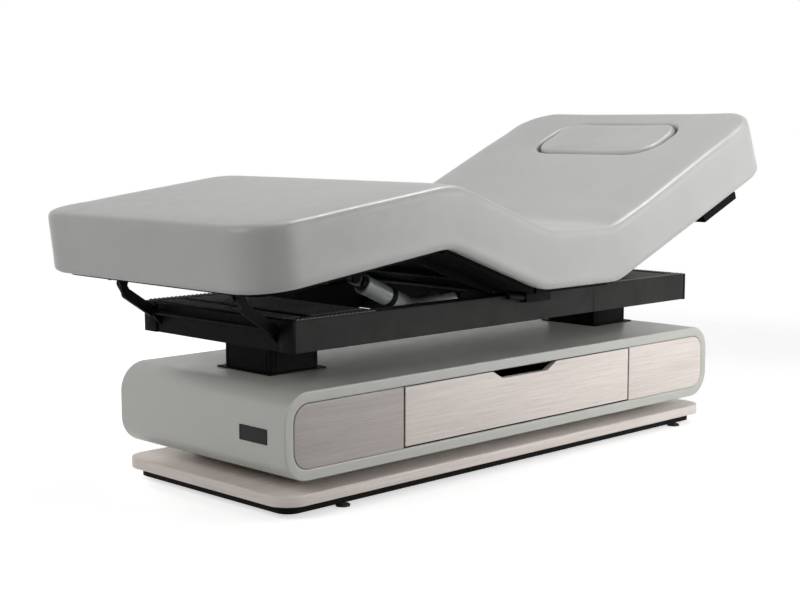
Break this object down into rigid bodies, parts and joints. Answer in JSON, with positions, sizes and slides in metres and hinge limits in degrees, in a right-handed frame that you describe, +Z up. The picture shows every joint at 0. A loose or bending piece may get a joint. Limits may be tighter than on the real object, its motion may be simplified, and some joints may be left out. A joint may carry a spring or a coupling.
{
  "type": "spa treatment table",
  "caption": "Upholstered spa treatment table with tilting back and leg sections on a lifting column base cabinet with a drawer",
  "frame": {"origin": "on the floor, under the middle of the top's whole length and width in the stored pose", "axes": "+X to the head end, -Y to the drawer side, +Z up"},
  "size_m": [1.8852, 0.84, 0.8833],
  "materials": {
    "upholstery": "smooth light grey coated upholstery, satin",
    "cabinet_lacquer": "satin grey-green lacquer",
    "ash_veneer": "pale washed veneer with fine horizontal grain",
    "cabinet_interior": "plain brown board",
    "black_powder_coat": "fine black powder coat",
    "black_board": "black coated board",
    "black_housing": "matte black housing",
    "motor_housing": "light grey moulded housing",
    "bright_steel": "bright zinc-plated steel",
    "foot_rubber": "black rubber"
  },
  "bodies": {
    "base": {"levelling_foot_1": "foot_rubber", "levelling_foot_2": "foot_rubber", "levelling_foot_3": "foot_rubber", "levelling_foot_4": "foot_rubber", "base_subframe": "black_powder_coat", "plinth_board": "ash_veneer", "cabinet_riser": "black_powder_coat", "cabinet_shell": "cabinet_lacquer", "front_panel_foot": "ash_veneer", "front_panel_head": "ash_veneer", "back_panel": "ash_veneer", "divider_foot": "cabinet_interior", "divider_head": "cabinet_interior", "drawer_runner_foot": "bright_steel", "drawer_runner_head": "bright_steel", "column_foot_outer": "black_powder_coat", "column_head_outer": "black_powder_coat", "column_trim_foot": "black_powder_coat", "column_trim_head": "black_powder_coat"},
    "column_mid_foot": {"column_foot_middle": "black_powder_coat"},
    "column_mid_head": {"column_head_middle": "black_powder_coat"},
    "lift": {"column_foot_inner": "black_powder_coat", "column_head_inner": "black_powder_coat", "frame_beam_near": "black_powder_coat", "frame_beam_far": "black_powder_coat", "frame_cross_foot": "black_powder_coat", "frame_cross_head": "black_powder_coat", "column_plate_foot": "black_powder_coat", "column_plate_head": "black_powder_coat", "cover_plate_foot": "black_powder_coat", "cover_plate_head": "black_powder_coat", "actuator_cross_bar": "black_powder_coat", "control_box": "black_housing", "seat_frame": "black_powder_coat", "seat_deck": "black_board", "seat_pad": "upholstery", "thigh_hinge_shaft": "bright_steel", "back_hinge_shaft": "bright_steel"},
    "thigh": {"thigh_frame": "black_powder_coat", "thigh_deck": "black_board", "thigh_pad": "upholstery", "knee_hinge_shaft": "bright_steel"},
    "leg": {"leg_frame": "black_powder_coat", "leg_deck": "black_board", "leg_pad": "upholstery"},
    "arms": {"support_arms": "black_powder_coat"},
    "back": {"back_frame": "black_powder_coat", "back_deck": "black_board", "back_pad": "upholstery", "head_bracket_near": "black_board", "head_bracket_far": "black_board"},
    "insert": {"face_insert": "upholstery"},
    "leg_motor": {"leg_actuator_body": "motor_housing"},
    "leg_rod": {"leg_actuator_rod": "bright_steel"},
    "back_motor": {"back_actuator_body": "motor_housing"},
    "back_rod": {"back_actuator_rod": "bright_steel"},
    "drawer": {"drawer_front": "ash_veneer", "drawer_box": "cabinet_interior", "drawer_slide_foot": "bright_steel", "drawer_slide_head": "bright_steel"}
  },
  "joints": [
    {"name": "lift_height", "type": "slide", "parent": "base", "child": "lift", "axis": [0, 0, 1], "range_m": [0, 0.3]},
    {"name": "foot_column_stage", "type": "slide", "parent": "base", "child": "column_mid_foot", "axis": [0, 0, 1], "range_m": [0, 0.15]},
    {"name": "head_column_stage", "type": "slide", "parent": "base", "child": "column_mid_head", "axis": [0, 0, 1], "range_m": [0, 0.15]},
    {"name": "thigh_tilt", "type": "hinge", "parent": "lift", "child": "thigh", "pos_m": [-0.0516, 0, 0.4385], "axis": [0, 1, 0], "range_deg": [-20.15, 8]},
    {"name": "knee_fold", "type": "hinge", "parent": "thigh", "child": "leg", "pos_m": [-0.37727, 0, 0.558], "axis": [0, 1, 0], "range_deg": [-10.89, 27.41]},
    {"name": "arm_swing", "type": "hinge", "parent": "lift", "child": "arms", "pos_m": [-0.7344, 0, 0.4085], "axis": [0, 1, 0], "range_deg": [-36.28, 14.41]},
    {"name": "leg_motor_swing", "type": "hinge", "parent": "thigh", "child": "leg_motor", "pos_m": [-0.38641, 0, 0.48605], "axis": [0, 1, 0], "range_deg": [-0.82, 0.33]},
    {"name": "leg_rod_slide", "type": "slide", "parent": "leg_motor", "child": "leg_rod", "axis": [0.913, 0, -0.4079], "range_m": [-0.03264, 0.01308]},
    {"name": "back_tilt", "type": "hinge", "parent": "lift", "child": "back", "pos_m": [0.2464, 0, 0.4385], "axis": [0, -1, 0], "range_deg": [-21.97, 38]},
    {"name": "back_motor_swing", "type": "hinge", "parent": "lift", "child": "back_motor", "pos_m": [0.0016, 0, 0.3675], "axis": [0, -1, 0], "range_deg": [-1.15, 0.67]},
    {"name": "back_rod_slide", "type": "slide", "parent": "back_motor", "child": "back_rod", "axis": [0.9992, 0, 0.0406], "range_m": [-0.02294, 0.03953]},
    {"name": "face_insert_lift", "type": "slide", "parent": "back", "child": "insert", "axis": [-0.3741, 0, 0.9274], "range_m": [0, 0.17]},
    {"name": "drawer_pull", "type": "slide", "parent": "base", "child": "drawer", "axis": [0, -1, 0], "range_m": [0, 0.38]}
  ],
  "couplings": [
    {"joint": "foot_column_stage", "follows": "lift_height", "ratio": 0.5},
    {"joint": "head_column_stage", "follows": "lift_height", "ratio": 0.5},
    {"joint": "knee_fold", "follows": "thigh_tilt", "ratio": -1.36},
    {"joint": "arm_swing", "follows": "thigh_tilt", "ratio": 1.8},
    {"joint": "leg_motor_swing", "follows": "thigh_tilt", "ratio": 0.04},
    {"joint": "leg_rod_slide", "follows": "thigh_tilt", "m_per_rad": 0.09225},
    {"joint": "back_motor_swing", "follows": "back_tilt", "ratio": -0.03},
    {"joint": "back_rod_slide", "follows": "back_tilt", "m_per_rad": 0.0593}
  ]
}
